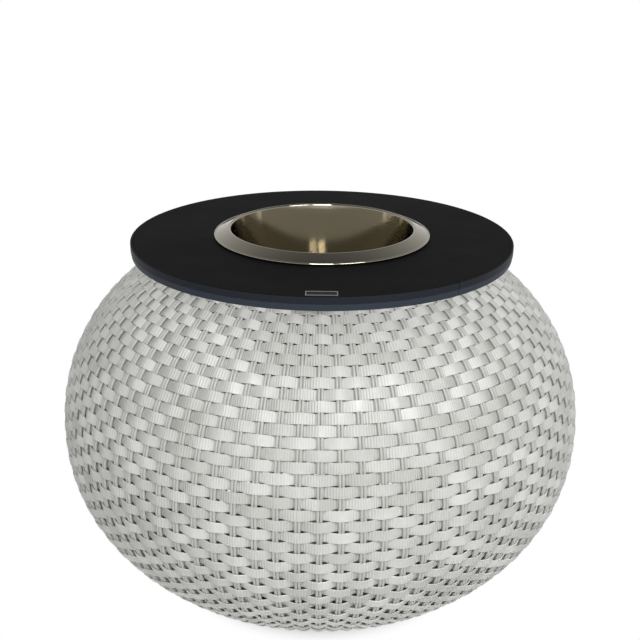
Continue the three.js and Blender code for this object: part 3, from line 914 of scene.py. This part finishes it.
class BUCKETTABLE_OT_ice_bucket(bpy.types.Operator):
    """Spins the ice bucket"""

    bl_idname = "buckettable.ice_bucket"
    bl_label = "Ice bucket"

    def execute(self, context):
        bucket = context.scene.ice_bucket
        half = bucket.sheet / 2
        lip = Vector((bucket.opening_radius + half + bucket.lip_radius,
                      BUCKET[1].z - half - bucket.lip_radius))
        bead_height = TABLE_HEIGHT + context.scene.cage.seat_gap + bucket.bead_radius
        bead = Vector((BUCKET[1].x - bucket.bead_radius, bead_height))
        reach = bead - lip
        slope = math.asin(bucket.lip_radius / reach.length) - math.atan2(reach.y, reach.x)
        corner_height = BUCKET[0].z + half + bucket.corner_radius
        across = bucket.lip_radius + bucket.corner_radius
        lean = (lip.y - corner_height) * math.tan(bucket.draft) + across / math.cos(bucket.draft)
        corner = Vector((lip.x - lean, corner_height))
        dome_radius = (corner.x ** 2 + bucket.dome ** 2
                       - 2 * bucket.corner_radius * bucket.dome) / (2 * bucket.dome)
        dome = Vector((0, corner.y - bucket.corner_radius + bucket.dome - dome_radius))
        dome_angle = math.asin(corner.x / (dome_radius + bucket.corner_radius))
        quarter = math.pi / 2
        neck = math.asin(half / bucket.bead_radius)
        wall = math.pi - bucket.draft
        # The centre, the radius, the first and last direction and the steps of each bend: up the
        # inside from the dome of the floor, round the bead, and back down the outside.
        bends = (
            (dome, dome_radius + half, quarter, quarter - dome_angle, 10),
            (corner, bucket.corner_radius - half, -quarter - dome_angle, -bucket.draft, 12),
            (lip, bucket.lip_radius + half, wall, quarter - slope, 10),
            (bead, bucket.bead_radius, math.pi - slope - neck, neck - slope - math.pi, 16),
            (lip, bucket.lip_radius - half, quarter - slope, wall, 8),
            (corner, bucket.corner_radius + half, -bucket.draft, -quarter - dome_angle, 12),
            (dome, dome_radius - half, quarter - dome_angle, quarter, 10),
        )
        profile = [point for bend in bends for point in arc(*bend)]
        profile[0].x = profile[-1].x = 0
        made = new_object("spun_ice_bucket", revolved("spun_ice_bucket", profile, BUCKET_STEPS))
        settle(made, polished_stainless(bucket), "bucket", "stainless", "ice_bucket", sharp=40)
        return {"FINISHED"}


class BUCKETTABLE_OT_cage(bpy.types.Operator):
    """Bends the ribs and the hoop and finishes the flat rings"""

    bl_idname = "buckettable.cage"
    bl_label = "Aluminium cage"

    def execute(self, context):
        cage = context.scene.cage
        weave = context.scene.woven_globe
        finish = plain_metal("mill_aluminium", cage.aluminium_colour, 0.42, scratch_size=8 * MM)
        for node in ("frame_top_ring", "frame_base_ring"):
            coat(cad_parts[node], finish)
        inset = weave.wall + cage.clearance + cage.rod_radius
        top_seat = TOP_RING[0].z - cage.seat_gap - cage.rod_radius
        base_seat = BASE_RING[1].z + cage.seat_gap + cage.rod_radius
        bow = [p for p in Globe(weave).outline(inset, RIB_STEPS)
               if base_seat + cage.bend_drop < p.y < top_seat - cage.bend_drop]
        top_edge, base_edge = TOP_RING[1].x, BASE_RING[1].x
        path = [Vector((top_edge - cage.seat_length, top_seat)), Vector((top_edge, top_seat)), *bow,
                Vector((base_edge, base_seat)), Vector((base_edge - cage.seat_length, base_seat))]
        ribs = grown("cage_ribs", polyline("cage_ribs", path), rod_tree(), {
            "Copies": len(RIB_NODES), "Start Angle": math.pi / len(RIB_NODES),
            "Radius": cage.rod_radius, "Material": finish})
        settle(ribs, None, "table", "aluminium", *RIB_NODES, sharp=60)
        centre = Vector((HOOP[1].x - cage.rod_radius, (HOOP[0].z + HOOP[1].z) / 2))
        hoop = hoop_of("belly_hoop", centre, cage.rod_radius, ROD_SIDES, steps=160)
        settle(hoop, finish, "table", "aluminium", "frame_belly_ring", sharp=60)
        return {"FINISHED"}


class BUCKETTABLE_OT_fastenings(bpy.types.Operator):
    """Sets the screws under the board and the glides under the base ring"""

    bl_idname = "buckettable.fastenings"
    bl_label = "Screws and glides"

    def execute(self, context):
        cage = context.scene.cage
        tree = copy_tree()
        zinc = plain_metal("zinc_plated_steel", cage.zinc_colour, 0.34, scratch_size=2 * MM)
        self.stand("top_screws", self.screw(cage), tree, SCREW, SCREW_NODES, "zinc_screw", zinc)
        self.stand("glides", self.glide(cage), tree, GLIDE, GLIDE_NODES, "black_nylon",
                   moulded_nylon(cage))
        return {"FINISHED"}

    @staticmethod
    def stand(name, mesh, tree, box, nodes, slot, material):
        """Stands a piece where the first CAD node is, and its copies round the axis."""
        low, high = box
        spot = Vector(((low.x + high.x) / 2, (low.y + high.y) / 2))
        mesh.transform(Matrix.Translation((spot.length, 0, 0)))
        made = grown(name, mesh, tree, {
            "Copies": len(nodes), "Start Angle": math.atan2(spot.y, spot.x), "Material": material})
        settle(made, None, "table", slot, *nodes, sharp=35)

    @staticmethod
    def screw(cage):
        """A pan-head screw, head down, with a cross recess."""
        low, high = SCREW[0].z, SCREW[1].z
        head, shank = cage.screw_head, cage.screw_shank
        shoulder = low + cage.screw_head_height
        crown, crown_exponent = 0.35 * cage.screw_head_height, 2.4
        profile = [Vector((0, low))]
        profile += [Vector((head * share, low + crown * share ** crown_exponent))
                    for share in (0.35, 0.6, 0.8, 0.92)]
        profile += [Vector(corner) for corner in (
            (head, low + 1.3 * crown), (head, shoulder), (shank, shoulder), (shank, high), (0, high))]
        screw = new_object("pan_head_screw", revolved("pan_head_screw", profile, steps=24))
        reach, half_wing = cage.drive_reach, cage.drive_wing / 2
        for wing in ((reach, half_wing), (half_wing, reach)):
            bpy.ops.mesh.primitive_cube_add(size=2)
            cutter = bpy.context.object
            cutter.data.transform(Matrix.Diagonal((*wing, cage.drive_depth, 1)))
            cutter.data.transform(Matrix.Translation((0, 0, low)))
            modifier = screw.modifiers.new("Recess", "BOOLEAN")
            modifier.operation = "DIFFERENCE"
            modifier.object = cutter
            mesh = evaluated_mesh(screw)
            screw.modifiers.clear()
            screw.data = mesh
            bpy.data.objects.remove(cutter)
        bpy.data.objects.remove(screw)
        return mesh

    @staticmethod
    def glide(cage):
        """A push-in glide: a rounded foot, a flange with a broken edge and a pointed stem."""
        radius = (GLIDE[1].x - GLIDE[0].x) / 2
        flange_top, stem_top = BASE_RING[0].z - cage.seat_gap, GLIDE[1].z
        rounding, stem = cage.glide_rounding, cage.glide_stem
        sole = radius - cage.glide_draft
        edge, point = 0.4 * MM, 1 * MM
        profile = [Vector((0, 0))]
        profile += arc(Vector((sole - rounding, rounding)), rounding, -math.pi / 2, 0, steps=5)
        profile += [Vector(corner) for corner in (
            (radius, flange_top - edge), (radius - edge, flange_top), (stem, flange_top),
            (stem, stem_top - point), (stem - point, stem_top), (0, stem_top))]
        return revolved("glide", profile, steps=48)


class BUCKETTABLE_OT_studio(bpy.types.Operator):
    """Lays the floor and sets the lights and the camera"""

    bl_idname = "buckettable.studio"
    bl_label = "Studio"

    def execute(self, context):
        scene = context.scene
        studio = scene.studio
        self.floor(studio)
        self.sky(scene, studio)
        rim = self.passed_by_light(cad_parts["top_board"], bpy.data.objects["edge_strip"])
        for name, (power, place, mirrored, shaded) in SOFTBOXES.items():
            lamp = self.softbox(name, getattr(studio, power), place)
            lamp.visible_glossy = mirrored
            if not shaded:
                lamp.light_linking.blocker_collection = rim
        self.camera(scene, studio)
        scene.view_settings.view_transform = "Standard"
        return {"FINISHED"}

    @staticmethod
    def floor(studio):
        """A pale floor that shows its shade only near the table and looks white further out."""
        half = studio.floor_size / 2
        mesh = mesh_from("floor", [(sx * half, sy * half, 0) for sx, sy in CORNERS], (), [(0, 1, 2, 3)])
        floor = new_object("floor", mesh)
        material, tree, shader, place = new_material("pale_floor", studio.floor_colour)
        cast_size = 900 * MM
        cast = add(tree, "TexNoise", {"Vector": place, "Scale": 1 / cast_size, "Detail": 2.0})
        gloss = add(tree, "MapRange", {"Value": cast, "To Min": 0.75, "To Max": 0.9})
        feed(tree, shader, {"Roughness": gloss})
        reach = add(tree, "VectorMath", (place,), "LENGTH").outputs["Value"]
        away = add(tree, "MapRange", {"Value": reach, "From Min": studio.shade_radius,
                                      "From Max": studio.glow_radius}, interpolation_type="SMOOTHSTEP")
        rays = add(tree, "LightPath").outputs
        seen = add(tree, "Math", (rays["Is Camera Ray"], rays["Is Glossy Ray"]), "MAXIMUM")
        seen = add(tree, "Math", (seen, rays["Is Transmission Ray"]), "MAXIMUM")
        amount = add(tree, "Math", (seen, away), "MULTIPLY")
        glow = add(tree, "Emission", {"Color": (1, 1, 1, 1), "Strength": 1.0})
        mixed = add(tree, "MixShader", (amount, shader, glow))
        feed(tree, tree.nodes["Material Output"], {"Surface": mixed})
        coat(floor, material)

    @staticmethod
    def sky(scene, studio):
        """Even light on the object, white behind it, and a darkening sky in its reflections."""
        world = bpy.data.worlds.new("studio")
        scene.world = world
        world.use_nodes = True
        tree = world.node_tree
        rays = add(tree, "LightPath").outputs
        facing = add(tree, "TexCoord").outputs["Generated"]
        height = add(tree, "SeparateXYZ", (facing,)).outputs["Z"]
        mirrored = add(tree, "MapRange", {"Value": height, "To Min": studio.mirrored_horizon,
                                          "To Max": studio.mirrored_zenith})
        level = add(tree, "Mix", {"Factor": rays["Is Glossy Ray"], "A": studio.ambient, "B": mirrored})
        seen = add(tree, "Math", (rays["Is Camera Ray"], rays["Is Transmission Ray"]), "MAXIMUM")
        shown = add(tree, "Mix", {"Factor": seen, "A": level.outputs["Result"], "B": 1.0})
        feed(tree, tree.nodes["Background"], {"Color": (1, 1, 1, 1),
                                              "Strength": shown.outputs["Result"]})

    @staticmethod
    def passed_by_light(*pieces):
        """A set of pieces that a lamp shines past."""
        group = bpy.data.collections.new("rim_lets_light_pass")
        for piece in pieces:
            group.objects.link(piece)
        for member in group.collection_objects:
            member.light_linking.link_state = "EXCLUDE"
        return group

    @staticmethod
    def softbox(name, power, place):
        """A square lamp that faces the middle of the table."""
        light = bpy.data.lights.new(name, "AREA")
        light.energy = power
        light.shape = "SQUARE"
        light.size = SOFTBOX_SIZE
        lamp = new_object(name, light)
        lamp.location = place
        aim = Vector((0, 0, TABLE_HEIGHT / 2)) - lamp.location
        lamp.rotation_euler = aim.to_track_quat("-Z", "Y").to_euler()
        return lamp

    @staticmethod
    def camera(scene, studio):
        """A full-frame camera where the photograph was taken from."""
        lens = bpy.data.cameras.new("camera")
        lens.lens = studio.focal_length
        lens.sensor_width = 36
        lens.clip_end = 50
        tilt = Matrix.Rotation(math.pi / 2 - studio.camera_pitch, 4, "X")
        roll = Matrix.Rotation(studio.camera_roll, 4, "Z")
        scene.camera = new_object("camera", lens)
        scene.camera.matrix_world = Matrix.Translation(studio.camera_place) @ tilt @ roll


OPERATORS = (
    BUCKETTABLE_OT_weft_courses,
    BUCKETTABLE_OT_warp_strands,
    BUCKETTABLE_OT_table_top,
    BUCKETTABLE_OT_name_plate,
    BUCKETTABLE_OT_ice_bucket,
    BUCKETTABLE_OT_cage,
    BUCKETTABLE_OT_fastenings,
    BUCKETTABLE_OT_studio,
)


class BUCKETTABLE_PT_panel(bpy.types.Panel):
    """Lists the pieces of the table"""

    bl_idname = "BUCKETTABLE_PT_panel"
    bl_label = "Ice Bucket Coffee Table"
    bl_space_type = "VIEW_3D"
    bl_region_type = "UI"
    bl_category = "Bucket Table"

    def draw(self, context):
        for operator in OPERATORS:
            self.layout.operator(operator.bl_idname)


CLASSES = (*SETTINGS.values(), *OPERATORS, BUCKETTABLE_PT_panel)


def register():
    for item in CLASSES:
        bpy.utils.register_class(item)
    for name, group in SETTINGS.items():
        setattr(bpy.types.Scene, name, PointerProperty(type=group))


def unregister():
    for name in SETTINGS:
        delattr(bpy.types.Scene, name)
    for item in reversed(CLASSES):
        bpy.utils.unregister_class(item)


def main():
    register()
    for operator in OPERATORS:
        family, name = operator.bl_idname.split(".")
        getattr(getattr(bpy.ops, family), name)()


if __name__ == "__main__":
    main()
